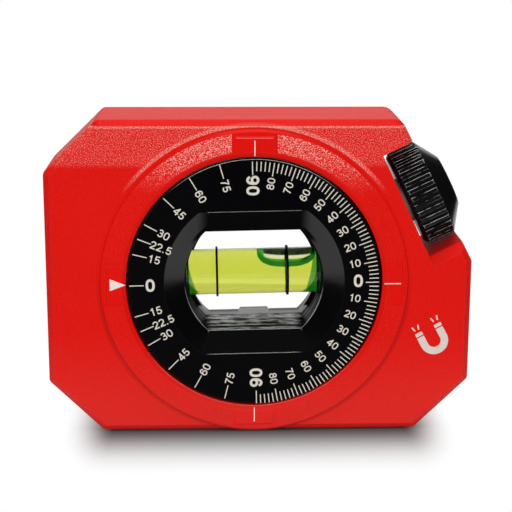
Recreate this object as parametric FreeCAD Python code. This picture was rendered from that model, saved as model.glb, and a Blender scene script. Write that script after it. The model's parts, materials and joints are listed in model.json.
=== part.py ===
import FreeCAD, Part
import math
import os

# Pocket level with a turning dial, a bubble vial and a lock knob. Millimetres.
# It is drawn round the dial's axis: X to the right, Y from the front face to the
# back, Z up. At the end everything moves so that the origin is the middle of the
# base, and the front faces -Y.

# Body
body_width = 95.0
body_height = 71.2
body_depth = 23.3
dial_from_left = 46.32
dial_from_base = 34.65
corner_run = 12.0
corner_rise = 11.7
slant_top_x = 32.1
slant_right_z = 4.7
corner_radius = 1.5
slant_corner_radius = 3.0
slant_corner = 4  # the slant's upper end, in the order of outline_corners
least_corner_radius = 0.3
edge_bevel = 1.4
wall = 3.0
front_wall = 3.0

# Raised ring round the dial and its four flat index pads
window_radius = 28.58
ring_foot_radius = 34.6
ring_height = 1.0
ring_outer_height = 0.55
ring_flank = 0.55
lip_width = 1.0
lip_drop = 0.7
pad_half_width = 4.2
pad_end_radius = 32.7
pad_end_slope = 0.4

# Dial
dial_turn = 1.05
dial_face_inset = 0.1
dial_gap = 0.25
dial_edge_chamfer = 0.4
flange_radius = 30.6
journal_gap = 0.05
flange_gap = 0.1
tube_wall = 2.75
funnel_radius = 20.2
funnel_flat = 16.3
funnel_depth = 2.9
passage_radius = 15.6
passage_flat = 11.55
step_depths = (2.0, 1.2, 1.6)
step_rise = 0.42
step_in = 0.15
rim_radius = 14.45
rim_flat = 9.85
rim_thickness = 0.9
tab_base = 7.3
tab_top = 6.3
tab_height = 1.0
dial_plate = 2.7
dial_rim_wall = 2.8
passage_wall = 2.4
dial_screw_circle = 24.0

# Vial
vial_radius = 5.25
vial_length = 38.0
vial_gap = 0.05
saddle_start = 14.9
saddle_wall = 1.5
saddle_half_height = 7.4
chamber_radius = 4.3
chamber_length = 31.0
chamber_barrel = 0.12
chamber_end_fillet = 2.4
liquid_gap = 0.03
bubble_centre_x = 7.6
bubble_length = 13.4
bubble_drop = 3.6
bubble_steps = 10
port_radius = 1.0
ring_band_width = 0.5
ring_band_height = 0.5
ring_band_centre = -0.25
ring_band_spacing = 16.1

# Friction ring and glide ring
o_ring_section = 0.7
o_ring_circle = 29.5
glide_ring_width = 1.6
glide_ring_thickness = 0.6
side_gap = 0.05

# Lock knob, its screw and its brake pad
knob_angle = 25.5
notch_floor = 37.7
notch_below = 11.9
notch_above = 13.7
notch_bevel = 2.0
knob_clear = 0.75
knob_radius = 11.5
knob_foot = 1.05
knob_foot_in = 1.2
knob_grip_length = 5.9
knob_cone_length = 3.75
knob_end_radius = 5.87
knob_end_round = 0.6
rib_count = 40
rib_depth = 0.55
rib_land = 0.43
groove_taper = 0.75
thread_radius = 2.5
screw_head_flats = 8.0
screw_head_length = 3.8
screw_tip_radius = 1.5
screw_tip_length = 1.2
washer_radius = 5.2
washer_gap = 0.1
brake_pad_radius = 2.8
brake_pad_length = 2.0
insert_length = 3.7
insert_radius = 3.5
insert_flange_radius = 4.5
insert_flange = 0.6
insert_boss_radius = 6.0
fit_gap = 0.03

# Rear cover and screws
cover_thickness = 2.4
cover_ledge = 1.8
cover_gap = 0.1
cover_edge = 0.5
boss_radius = 3.3
screw_radius = 1.15
head_radius = 2.4
head_height = 1.3
head_gap = 0.2
cover_screw_length = 9.0
cover_screw_inset = 8.0
slant_screw_inset = 7.1
slant_screw_drop = 4.75
dial_screw_radius = 1.0
dial_boss_radius = 3.0
dial_head_radius = 1.9
dial_head_height = 1.2
dial_screw_length = 14.0
hole_spare = 1.0  # how far a screw hole runs past its screw
cross_reach = 0.62  # length of the cross's arm, as a share of the head's radius
cross_width = 0.55
cross_depth = 0.7

# Base groove and magnets
groove_width = 9.0
groove_depth = 2.2
magnet_radius = 4.0
magnet_height = 4.0
magnet_spacing = 52.0
magnet_gap = 0.05
magnet_edge = 0.3
magnet_boss_wall = 1.5

X = FreeCAD.Vector(1, 0, 0)
Y = FreeCAD.Vector(0, 1, 0)
Z = FreeCAD.Vector(0, 0, 1)
CENTRE = FreeCAD.Vector(0, 0, 0)

left = -dial_from_left
right = body_width - dial_from_left
base = -dial_from_base
top = body_height - dial_from_base
middle = body_depth / 2
dial_radius = window_radius - dial_gap
tube_radius = flange_radius + journal_gap
tube_outside = tube_radius + tube_wall
dial_face = dial_face_inset
dial_rear = body_depth - dial_face_inset
front_shoulder = front_wall + flange_gap
cover_inside = body_depth - cover_thickness
rear_shoulder = cover_inside - glide_ring_thickness - 2 * side_gap
knob_inside = notch_floor + knob_clear
pad_inside = flange_radius + journal_gap
pad_outside = pad_inside + brake_pad_length
reach = 2 * body_width


def point(x, y, z):
    return FreeCAD.Vector(x, y, z)


def disc(radius, y0, y1, x=0.0, z=0.0):
    return Part.makeCylinder(radius, y1 - y0, point(x, y0, z), Y)


def rod(radius, x0, x1, y=0.0, z=0.0):
    return Part.makeCylinder(radius, x1 - x0, point(x0, y, z), X)


def block(x0, x1, y0, y1, z0, z1):
    return Part.makeBox(x1 - x0, y1 - y0, z1 - z0, point(x0, y0, z0))


def ring(outer, inner, y0, y1):
    return disc(outer, y0, y1).cut(disc(inner, y0 - 1, y1 + 1))


def revolved(profile, axis):
    """Solid of revolution of a closed list of points."""
    wire = Part.makePolygon(profile + [profile[0]])
    return Part.Face(wire).revolve(CENTRE, axis, 360)


def extruded(corners, y0, y1):
    """Prism of a polygon of (x, z) corners between two depths."""
    wire = Part.makePolygon([point(x, y0, z) for x, z in corners + [corners[0]]])
    return Part.Face(wire).extrude(Y * (y1 - y0))


def along_knob(shape):
    """Turn a piece drawn along +X until it points along the knob's axis."""
    placed = shape.copy()
    placed.rotate(CENTRE, Y, -knob_angle)
    return placed


def with_dial(shape):
    """Turn a piece of the dial to where the dial stands at rest."""
    placed = shape.copy()
    placed.rotate(CENTRE, Y, -dial_turn)
    return placed


def mirrored(shape):
    return shape.mirror(point(0, middle, 0), Y)


def outline_corners(inset):
    """Corners of the body's outline, each edge moved inwards by inset."""
    corners = [
        (left + corner_run, base),
        (right - corner_run, base),
        (right, base + corner_rise),
        (right, slant_right_z),
        (slant_top_x, top),
        (left + corner_run, top),
        (left, top - corner_rise),
        (left, base + corner_rise),
    ]
    lines = []
    for start, end in zip(corners, corners[1:] + corners[:1]):
        dx = end[0] - start[0]
        dz = end[1] - start[1]
        length = math.hypot(dx, dz)
        normal = (-dz / length, dx / length)
        offset = normal[0] * start[0] + normal[1] * start[1] + inset
        lines.append((normal, offset))
    moved = []
    for (n1, c1), (n2, c2) in zip(lines[-1:] + lines[:-1], lines):
        det = n1[0] * n2[1] - n1[1] * n2[0]
        x = (c1 * n2[1] - c2 * n1[1]) / det
        z = (n1[0] * c2 - n2[0] * c1) / det
        moved.append((x, z))
    return moved


def rounded_outline(inset, y):
    """The body's outline as a wire at depth y, its corners rounded."""
    corners = outline_corners(inset)
    count = len(corners)
    edges = []
    joins = []
    for index, corner in enumerate(corners):
        before = FreeCAD.Vector(*corners[index - 1], 0)
        here = FreeCAD.Vector(*corner, 0)
        after = FreeCAD.Vector(*corners[(index + 1) % count], 0)
        to_before = (before - here).normalize()
        to_after = (after - here).normalize()
        half = to_before.getAngle(to_after) / 2
        radius = slant_corner_radius if index == slant_corner else corner_radius
        radius = max(radius - inset, least_corner_radius)
        run = radius / math.tan(half)
        inward = (to_before + to_after).normalize()
        middle_of_arc = here + inward * (radius / math.sin(half) - radius)
        joins.append((here + to_before * run, middle_of_arc, here + to_after * run))
    for index, (start, bend, end) in enumerate(joins):
        following = joins[(index + 1) % count][0]
        lifted = [point(p.x, y, p.y) for p in (start, bend, end, following)]
        edges.append(Part.Arc(lifted[0], lifted[1], lifted[2]).toShape())
        edges.append(Part.makeLine(lifted[2], lifted[3]))
    return Part.Wire(edges)


def outline_prism(inset, y0, y1):
    return Part.Face(rounded_outline(inset, y0)).extrude(Y * (y1 - y0))


def notch(margin, y0, y1):
    """The knob's notch, open to the outside, grown by margin into the body."""
    space = block(notch_floor - margin, reach, y0, y1, -notch_below - margin, notch_above + margin)
    return along_knob(space)


def barrel_wire(radius, flat, y):
    """A circle cut by two level flats, the outline of the dial's window."""
    half = math.sqrt(radius ** 2 - flat ** 2)
    right_arc = Part.Arc(point(half, y, -flat), point(radius, y, 0), point(half, y, flat))
    left_arc = Part.Arc(point(-half, y, flat), point(-radius, y, 0), point(-half, y, -flat))
    upper = Part.makeLine(point(half, y, flat), point(-half, y, flat))
    lower = Part.makeLine(point(-half, y, -flat), point(half, y, -flat))
    return Part.Wire([right_arc.toShape(), upper, left_arc.toShape(), lower])


def barrel(radius, flat, y0, y1):
    return Part.Face(barrel_wire(radius, flat, y0)).extrude(Y * (y1 - y0))


def cross_screw(x, z, head_at, radius, length, head_r, head_h):
    """A screw driven from the back: pan head with a cross, plain shank."""
    head = disc(head_r, head_at - head_h, head_at, x, z)
    rim = [e for e in head.Edges if abs(e.BoundBox.YMin - head_at) < 1e-6 and e.Closed]
    head = head.makeChamfer(head_h / 2, rim)
    shank = disc(radius, head_at - head_h - length, head_at - head_h, x, z)
    tip = shank.Edges
    lowest = min(e.BoundBox.YMax for e in tip)
    shank = shank.makeChamfer(radius / 2, [e for e in tip if e.BoundBox.YMax < lowest + 1e-6])
    screw = head.fuse(shank)
    arm = head_r * cross_reach
    for dx, dz in ((arm, cross_width / 2), (cross_width / 2, arm)):
        slot = block(x - dx, x + dx, head_at - cross_depth, head_at + 1, z - dz, z + dz)
        screw = screw.cut(slot)
    return screw.removeSplitter()


def cover_screw_places():
    low = base + corner_rise + (cover_screw_inset - corner_rise / 2) / 2
    return [
        (left + cover_screw_inset, low),
        (left + cover_screw_inset, top - (low - base)),
        (right - cover_screw_inset, low),
        (slant_top_x - slant_screw_inset, top - slant_screw_drop),
    ]


def dial_screw_places():
    places = []
    for index in range(4):
        angle = math.radians(45 + 90 * index)
        places.append((dial_screw_circle * math.cos(angle), dial_screw_circle * math.sin(angle)))
    return places


def magnet_places():
    return (-magnet_spacing / 2, magnet_spacing / 2)


def groove_apex():
    return base + groove_depth


def make_front_ring():
    """The raised ring: lip, outward sloping band, flank, and four flat pads."""
    crest = window_radius + lip_width
    edge = ring_foot_radius - ring_flank
    root = 2 * edge_bevel
    band = revolved([
        point(window_radius, lip_drop - ring_height, 0),
        point(crest, -ring_height, 0),
        point(edge, -ring_outer_height, 0),
        point(ring_foot_radius, 0, 0),
        point(ring_foot_radius, root, 0),
        point(window_radius, root, 0),
    ], Y)
    slope_end = pad_end_radius + pad_end_slope
    for turn in range(4):
        profile = Part.makePolygon([
            point(0, -ring_height, -pad_half_width),
            point(pad_end_radius, -ring_height, -pad_half_width),
            point(slope_end, pad_end_slope - ring_height, -pad_half_width),
            point(slope_end, edge_bevel, -pad_half_width),
            point(0, edge_bevel, -pad_half_width),
            point(0, -ring_height, -pad_half_width),
        ])
        pad = Part.Face(profile).extrude(Z * (2 * pad_half_width))
        pad = pad.cut(disc(crest, -root, root))
        pad.rotate(CENTRE, Y, 90 * turn)
        band = band.fuse(pad)
    return band.common(outline_prism(0, -2 * ring_height, root))


def make_housing():
    shell = outline_prism(0, 0, body_depth)
    ends = [e for e in shell.Edges if e.BoundBox.YMax < 1e-6 or e.BoundBox.YMin > body_depth - 1e-6]
    shell = shell.makeChamfer(edge_bevel, ends)
    shell = shell.fuse(make_front_ring())

    hollow = outline_prism(wall, front_wall, body_depth)
    hollow = hollow.cut(disc(tube_outside, 0, body_depth))
    hollow = hollow.cut(notch(wall, 0, body_depth))
    boss = rod(insert_boss_radius, 0, notch_floor, middle)
    hollow = hollow.cut(along_knob(boss))
    for x, z in cover_screw_places():
        hollow = hollow.cut(disc(boss_radius, 0, body_depth, x, z))
    magnet_boss = magnet_radius + magnet_boss_wall
    boss_top = groove_apex() + magnet_height + magnet_boss_wall
    for x in magnet_places():
        tower = block(x - magnet_boss, x + magnet_boss, 0, body_depth, base, boss_top)
        hollow = hollow.cut(tower)
    shell = shell.cut(hollow)

    shell = shell.cut(disc(window_radius, -2 * ring_height, body_depth))
    shell = shell.cut(disc(tube_radius, front_wall, body_depth))
    rebate = outline_prism(cover_ledge, cover_inside, body_depth + 1)
    shell = shell.cut(rebate.cut(notch(cover_ledge, 0, body_depth + 2)))
    shell = shell.cut(notch(0, -reach, reach))
    shell = shell.cut(notch_bevels())

    for x, z in cover_screw_places():
        depth = cover_screw_length - (cover_thickness - head_height) + hole_spare
        shell = shell.cut(disc(screw_radius + fit_gap, cover_inside - depth, cover_inside, x, z))
    seat = rod(insert_radius + fit_gap, notch_floor - insert_length, notch_floor, middle)
    seat = seat.fuse(rod(insert_flange_radius + fit_gap, notch_floor - insert_flange, reach, middle))
    guide_end = notch_floor - insert_length
    guide = rod(brake_pad_radius + journal_gap, flange_radius - brake_pad_length, guide_end, middle)
    shell = shell.cut(along_knob(seat.fuse(guide)))

    groove = Part.makePolygon([
        point(-reach, middle - groove_width / 2, base),
        point(-reach, middle, groove_apex()),
        point(-reach, middle + groove_width / 2, base),
        point(-reach, middle + groove_width / 2, base - 1),
        point(-reach, middle - groove_width / 2, base - 1),
        point(-reach, middle - groove_width / 2, base),
    ])
    shell = shell.cut(Part.Face(groove).extrude(X * (2 * reach)))
    pocket_depth = groove_depth + magnet_height + magnet_gap + 1
    for x in magnet_places():
        pocket = Part.makeCylinder(magnet_radius + magnet_gap, pocket_depth, point(x, middle, base - 1))
        shell = shell.cut(pocket)
    return shell.removeSplitter()


def notch_bevels():
    """Bevels where the notch's lower wall meets the front and the back."""
    bevel = Part.makePolygon([
        point(notch_floor, -1, -notch_below + 1),
        point(notch_floor, notch_bevel, -notch_below + 1),
        point(notch_floor, notch_bevel, -notch_below),
        point(notch_floor, 0, -notch_below - notch_bevel),
        point(notch_floor, -1, -notch_below - notch_bevel),
        point(notch_floor, -1, -notch_below + 1),
    ])
    front = Part.Face(bevel).extrude(X * reach)
    return along_knob(front.fuse(mirrored(front)))


def make_rear_cover():
    plate = outline_prism(cover_ledge + cover_gap, cover_inside, body_depth)
    plate = plate.cut(notch(cover_ledge + cover_gap, 0, body_depth + 2))
    plate = plate.cut(disc(window_radius, 0, body_depth + 1))
    mouth_start = body_depth - cover_edge
    mouth = Part.makeCone(window_radius, window_radius + cover_edge, cover_edge, point(0, mouth_start, 0), Y)
    plate = plate.cut(mouth)
    for x, z in cover_screw_places():
        plate = plate.cut(disc(screw_radius + head_gap, 0, body_depth + 1, x, z))
        head_seat = body_depth - head_height - head_gap
        plate = plate.cut(disc(head_radius + head_gap, head_seat, body_depth + 1, x, z))
    return plate.removeSplitter()


def make_cover_screws():
    head_at = body_depth - head_gap
    length = cover_screw_length - head_height
    screws = []
    for x, z in cover_screw_places():
        screws.append(cross_screw(x, z, head_at, screw_radius, length, head_radius, head_height))
    return Part.makeCompound(screws)


def make_window():
    """The space through the front half of the dial: funnel, then four steps."""
    throat = dial_face + funnel_depth
    mouth = barrel_wire(funnel_radius, funnel_flat, dial_face)
    funnel = Part.makeLoft([mouth, barrel_wire(passage_radius, passage_flat, throat)], True, True)
    space = funnel
    depth = throat
    radius = passage_radius
    flat = passage_flat
    for run in step_depths + (middle - throat - sum(step_depths),):
        space = space.fuse(barrel(radius, flat, depth, depth + run))
        depth = depth + run
        radius = radius - step_in
        flat = flat - step_rise
    return space


def make_dial_half():
    """Front half of the dial: face plate, rim, window wall, saddles, screw posts."""
    half = revolved([
        point(0, dial_face, 0),
        point(dial_radius - dial_edge_chamfer, dial_face, 0),
        point(dial_radius, dial_face + dial_edge_chamfer, 0),
        point(dial_radius, front_shoulder, 0),
        point(flange_radius, front_shoulder, 0),
        point(flange_radius, middle, 0),
        point(0, middle, 0),
    ], Y)
    plate_back = dial_face + dial_plate
    hollow = disc(flange_radius - dial_rim_wall, plate_back, middle)
    hollow = hollow.cut(barrel(passage_radius + passage_wall, passage_flat + passage_wall, 0, body_depth))
    saddle_end = vial_length / 2 + vial_gap + saddle_wall
    for x0, x1 in ((saddle_start, saddle_end), (-saddle_end, -saddle_start)):
        hollow = hollow.cut(block(x0, x1, 0, body_depth, -saddle_half_height, saddle_half_height))
    for x, z in dial_screw_places():
        hollow = hollow.cut(disc(dial_boss_radius, 0, body_depth, x, z))
    half = half.cut(hollow)
    half = half.cut(make_window())
    seat_end = vial_length / 2 + vial_gap
    return half.cut(rod(vial_radius + vial_gap, -seat_end, seat_end, middle))


def make_dial_front():
    front = make_dial_half()
    groove = ring(o_ring_circle + o_ring_section + side_gap, o_ring_circle - o_ring_section - side_gap,
                  front_shoulder - 1, front_shoulder + 2 * o_ring_section)
    front = front.cut(groove)
    for x, z in dial_screw_places():
        hole_end = dial_rear - head_gap - dial_screw_length - hole_spare
        front = front.cut(disc(dial_screw_radius + fit_gap, hole_end, middle + 1, x, z))
    return with_dial(front.removeSplitter())


def make_dial_back():
    back = mirrored(make_dial_half())
    shoulder = ring(flange_radius + 1, dial_radius, rear_shoulder, dial_rear + 1)
    back = back.cut(shoulder)
    hoop = barrel(passage_radius, passage_flat, middle, middle + rim_thickness)
    hoop = hoop.cut(barrel(rim_radius, rim_flat, middle - 1, body_depth))
    tab = extruded([
        (-tab_base / 2, -rim_flat),
        (tab_base / 2, -rim_flat),
        (tab_top / 2, -rim_flat + tab_height),
        (-tab_top / 2, -rim_flat + tab_height),
    ], middle, middle + rim_thickness)
    seat_end = vial_length / 2 + vial_gap
    hoop = hoop.fuse(tab).cut(rod(vial_radius + vial_gap, -seat_end, seat_end, middle))
    back = back.fuse(hoop)
    for x, z in dial_screw_places():
        back = back.cut(disc(dial_screw_radius + head_gap, 0, body_depth + 1, x, z))
        head_seat = dial_rear - dial_head_height - head_gap
        back = back.cut(disc(dial_head_radius + head_gap, head_seat, body_depth + 1, x, z))
    return with_dial(back.removeSplitter())


def make_dial_screws():
    head_at = dial_rear - head_gap
    length = dial_screw_length - dial_head_height
    screws = []
    for x, z in dial_screw_places():
        screw = cross_screw(x, z, head_at, dial_screw_radius, length, dial_head_radius, dial_head_height)
        screws.append(screw)
    return with_dial(Part.makeCompound(screws))


def make_chamber(gap):
    """The vial's barrel shaped liquid chamber with rounded ends."""
    half = chamber_length / 2 - gap
    middle_radius = chamber_radius - gap
    end_radius = middle_radius - chamber_barrel
    arc = Part.Arc(point(-half, end_radius, 0), point(0, middle_radius, 0), point(half, end_radius, 0))
    ends = [point(half, end_radius, 0), point(half, 0, 0), point(-half, 0, 0), point(-half, end_radius, 0)]
    profile = Part.Wire([arc.toShape(), Part.makePolygon(ends)])
    chamber = Part.Face(profile).revolve(CENTRE, X, 360)
    rims = [e for e in chamber.Edges if abs(e.BoundBox.XLength) < 1e-6 and e.Closed]
    chamber = chamber.makeFillet(chamber_end_fillet - gap, rims)
    chamber.translate(point(0, middle, 0))
    return chamber


def make_vial_body():
    half = vial_length / 2
    body = rod(vial_radius, -half, half, middle)
    body = body.cut(make_chamber(0))
    port = rod(port_radius, -half - 1, -chamber_length / 2 + 1, middle)
    return with_dial(body.cut(port))


def make_vial_plug():
    return with_dial(rod(port_radius - fit_gap, -vial_length / 2, -chamber_length / 2, middle))


def make_vial_liquid():
    liquid = make_chamber(liquid_gap)
    profile = []
    for index in range(bubble_steps + 1):
        angle = math.pi * index / bubble_steps
        across = bubble_drop * math.sin(angle) if 0 < index < bubble_steps else 0.0
        profile.append(point(-bubble_length / 2 * math.cos(angle), across, 0))
    bubble = revolved(profile, X)
    bubble.translate(point(bubble_centre_x, middle, chamber_radius))
    return with_dial(liquid.cut(bubble))


def make_vial_ring(side):
    x = ring_band_centre + side * ring_band_spacing / 2
    x0 = x - ring_band_width / 2
    x1 = x + ring_band_width / 2
    band = rod(vial_radius + ring_band_height, x0, x1, middle)
    return with_dial(band.cut(rod(vial_radius + liquid_gap, x0 - 1, x1 + 1, middle)))


def make_o_ring():
    """The dial's O-ring, its section drawn as an octagon."""
    circle_depth = front_wall + side_gap + o_ring_section
    corner = o_ring_section / math.cos(math.pi / 8)
    section = []
    for index in range(8):
        angle = (index + 0.5) * math.pi / 4
        across = o_ring_circle + corner * math.cos(angle)
        section.append(point(across, circle_depth + corner * math.sin(angle), 0))
    return with_dial(revolved(section, Y))


def make_glide_ring():
    outer = flange_radius - side_gap
    start = rear_shoulder + side_gap
    glide = ring(outer, outer - glide_ring_width, start, start + glide_ring_thickness)
    return with_dial(glide)


def make_lock_knob():
    """Ribbed grip with a chamfered foot and a smooth cone to its end face."""
    grip_start = knob_inside + knob_foot
    grip_end = grip_start + knob_grip_length
    knob_end = grip_end + knob_cone_length
    knob = revolved([
        point(knob_inside, 0, 0),
        point(knob_inside, knob_radius - knob_foot_in, 0),
        point(grip_start, knob_radius, 0),
        point(grip_end, knob_radius, 0),
        point(knob_end, knob_end_radius, 0),
        point(knob_end, 0, 0),
    ], X)
    rim = [e for e in knob.Edges if e.Closed and e.BoundBox.XMin > knob_end - 1e-6]
    knob = knob.makeFillet(knob_end_round, rim)
    pitch = 2 * math.pi / rib_count
    outer_half = pitch * (1 - rib_land) / 2
    inner_half = outer_half * groove_taper
    root = knob_radius - rib_depth
    beyond = knob_radius + rib_depth
    groove_start = grip_start - knob_foot
    groove_corners = ((root, -inner_half), (beyond, -outer_half), (beyond, outer_half), (root, inner_half))
    for index in range(rib_count):
        angle = (index + 0.5) * pitch
        corners = []
        for radius, turn in groove_corners:
            across = radius * math.cos(angle + turn)
            above = radius * math.sin(angle + turn)
            corners.append(point(groove_start, across, above))
        wire = Part.makePolygon(corners + [corners[0]])
        knob = knob.cut(Part.Face(wire).extrude(X * (grip_end + 1 - groove_start)))
    knob.translate(point(0, middle, 0))
    knob = knob.cut(screw_head(fit_gap))
    return along_knob(knob)


def screw_head(gap):
    """Hexagon head of the lock screw, or its pocket when gap is above 0."""
    corner = (screw_head_flats / 2 + gap) / math.cos(math.pi / 6)
    start = knob_inside + side_gap - gap
    if gap > 0:
        start = knob_inside - 1
    end = knob_inside + side_gap + screw_head_length + gap
    corners = []
    for index in range(6):
        angle = index * math.pi / 3
        corners.append(point(start, middle + corner * math.cos(angle), corner * math.sin(angle)))
    wire = Part.makePolygon(corners + [corners[0]])
    return Part.Face(wire).extrude(X * (end - start))


def make_lock_screw():
    shank = rod(thread_radius, pad_outside, knob_inside + side_gap, middle)
    tip = rod(screw_tip_radius, pad_outside - screw_tip_length, pad_outside, middle)
    return along_knob(shank.fuse(tip).fuse(screw_head(0)).removeSplitter())


def make_knob_washer():
    inner = notch_floor + washer_gap
    washer = rod(washer_radius, inner, knob_inside, middle)
    return along_knob(washer.cut(rod(thread_radius + side_gap, inner - 1, knob_inside + 1, middle)))


def make_brake_pad():
    socket_start = pad_outside - screw_tip_length - side_gap
    pad = rod(brake_pad_radius, flange_radius - brake_pad_length, pad_outside, middle)
    pad = pad.cut(rod(screw_tip_radius + side_gap, socket_start, pad_outside + 1, middle))
    pad = pad.cut(disc(pad_inside, 0, body_depth))
    return along_knob(pad)


def make_thread_insert():
    start = notch_floor - insert_length + fit_gap
    insert = rod(insert_radius, start, notch_floor, middle)
    flange_start = notch_floor - insert_flange + fit_gap
    insert = insert.fuse(rod(insert_flange_radius, flange_start, notch_floor, middle))
    bore = rod(thread_radius + journal_gap, start - 1, notch_floor + 1, middle)
    return along_knob(insert.cut(bore).removeSplitter())


def make_magnet(x):
    magnet = Part.makeCylinder(magnet_radius, magnet_height, point(x, middle, groove_apex()))
    rims = [e for e in magnet.Edges if e.Closed]
    return magnet.makeChamfer(magnet_edge, rims)


front_left, front_right = magnet_places()
pieces = {
    "housing": make_housing(),
    "rear_cover": make_rear_cover(),
    "cover_screws": make_cover_screws(),
    "magnet_left": make_magnet(front_left),
    "magnet_right": make_magnet(front_right),
    "thread_insert": make_thread_insert(),
    "dial_front": make_dial_front(),
    "dial_back": make_dial_back(),
    "dial_screws": make_dial_screws(),
    "dial_o_ring": make_o_ring(),
    "dial_glide_ring": make_glide_ring(),
    "vial_body": make_vial_body(),
    "vial_plug": make_vial_plug(),
    "vial_liquid": make_vial_liquid(),
    "vial_ring_left": make_vial_ring(-1),
    "vial_ring_right": make_vial_ring(1),
    "lock_knob": make_lock_knob(),
    "lock_screw": make_lock_screw(),
    "knob_washer": make_knob_washer(),
    "brake_pad": make_brake_pad(),
}

# The origin goes to the middle of the base, halfway between the crest of the
# ring and the back.
origin = point((left + right) / 2, (body_depth - ring_height) / 2, base)
os.makedirs("parts", exist_ok=True)
for name, shape in pieces.items():
    shape.translate(-origin)
    shape.exportStep("parts/" + name + ".step")
    print(name, "valid", shape.isValid(), "solids", len(shape.Solids), "volume", round(shape.Volume, 2))
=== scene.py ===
import bpy
import bmesh
import json
import math
from mathutils import Matrix, Vector


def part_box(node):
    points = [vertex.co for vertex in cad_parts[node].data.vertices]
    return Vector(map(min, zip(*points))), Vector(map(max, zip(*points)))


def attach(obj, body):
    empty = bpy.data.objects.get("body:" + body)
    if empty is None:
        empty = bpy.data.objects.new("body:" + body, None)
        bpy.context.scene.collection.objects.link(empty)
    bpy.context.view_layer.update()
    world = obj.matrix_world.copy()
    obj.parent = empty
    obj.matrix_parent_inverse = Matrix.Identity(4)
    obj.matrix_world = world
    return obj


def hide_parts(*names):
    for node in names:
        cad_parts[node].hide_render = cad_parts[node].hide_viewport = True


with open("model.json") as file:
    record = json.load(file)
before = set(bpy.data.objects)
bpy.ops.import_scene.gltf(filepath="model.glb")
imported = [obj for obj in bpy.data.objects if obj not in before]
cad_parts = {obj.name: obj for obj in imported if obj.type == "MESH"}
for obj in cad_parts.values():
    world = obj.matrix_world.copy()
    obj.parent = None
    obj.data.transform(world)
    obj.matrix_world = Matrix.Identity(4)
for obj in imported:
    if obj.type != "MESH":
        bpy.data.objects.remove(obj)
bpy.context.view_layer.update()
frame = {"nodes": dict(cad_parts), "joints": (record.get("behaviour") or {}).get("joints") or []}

MM = 0.001
dial_joint = [j for j in frame["joints"] if j["name"] == "dial_turn"][0]
AXIS = Vector(dial_joint["pos_m"])
knob_joint = [j for j in frame["joints"] if j["name"] == "knob_turn"][0]
KNOB_CENTRE = Vector(knob_joint["pos_m"])
KNOB_AXIS = Vector(knob_joint["axis"]).normalized()
RING_HEIGHT = 1.0 * MM
PAD_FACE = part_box("housing")[0].y
FRONT_FACE = PAD_FACE + RING_HEIGHT
DIAL_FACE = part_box("dial_front")[0].y
VIAL_DEPTH = AXIS.y
DIAL_TURN = math.radians(1.05)

# Body, in millimetres from the dial's axis
LIP_END = 28.95
BAND_START = 29.85
BAND_END = 33.9
RING_FOOT = 35.0
PAD_HALF = 5.0
PAD_END_TOP = 32.9
PAD_END_LOW = 32.45
FRONT_TOP = 35.175
TOP_FACE = 36.45

# Dial and its window, in millimetres from the axis or, as depths, from the dial's face
RIM_RADIUS = 27.1
THROAT_RADIUS = 16.6
FUNNEL_DEPTH = 2.9
FUNNEL_FOOT = -16.35
MOUTH_TOP = 12.6
FLOOR_TOP = -8.4
FLOOR_HALF = 10.0

# Print on the dial and the ring, in millimetres and degrees
PRINT_THICKNESS = 0.03
LAYER_STEP = 0.002
SCALE_DROP = 0.4
TICK_OUTER = 27.82
TICK_LONG = 24.85
COARSE_INNER = 24.6
TICK_SHORT = 25.7
TICK_WIDTH = 0.22
SMALL_DIGIT = 1.72
LEFT_DIGIT = 1.8
BOLD_DIGIT = 2.9
STROKE = 0.15
BOLD_STROKE = 0.19
DIGIT_HALF = 0.35
DIGIT_PITCH = 0.81
POINT_PITCH = 0.42
NUMBER_START = 24.3
LONG_NUMBER_START = 24.7
NUMBER_CENTRE = 22.75
BOLD_CENTRE = 23.2
ROOF_ANGLES = ("15", "22.5", "30", "45", "60", "75")
FINE_STEP = 2
LONG_STEP = 10
PAD_MARK = (28.8, 32.2)
RIGHT_PAD_MARK = (28.9, 32.6)

# Vial, in millimetres
VIAL_RADIUS = 5.25
VIAL_HALF = 19.0
VIAL_EDGE = 0.3
CHAMBER_RADIUS = 4.3
CHAMBER_HALF = 15.5
CHAMBER_BARREL = 0.12
CHAMBER_FILLET = 0.9
PORT_RADIUS = 1.0
BUBBLE_CENTRE = 7.7
BUBBLE_HALF = 6.75
ACRYLIC_IOR = 1.49
LIQUID_IOR = 1.36


def linear(r, g, b):
    """A colour given as 0 to 255 screen values, as linear light."""
    out = []
    for value in (r, g, b):
        c = value / 255
        out.append(c / 12.92 if c <= 0.04045 else ((c + 0.055) / 1.055) ** 2.4)
    return (*out, 1.0)


# Materials


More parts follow.
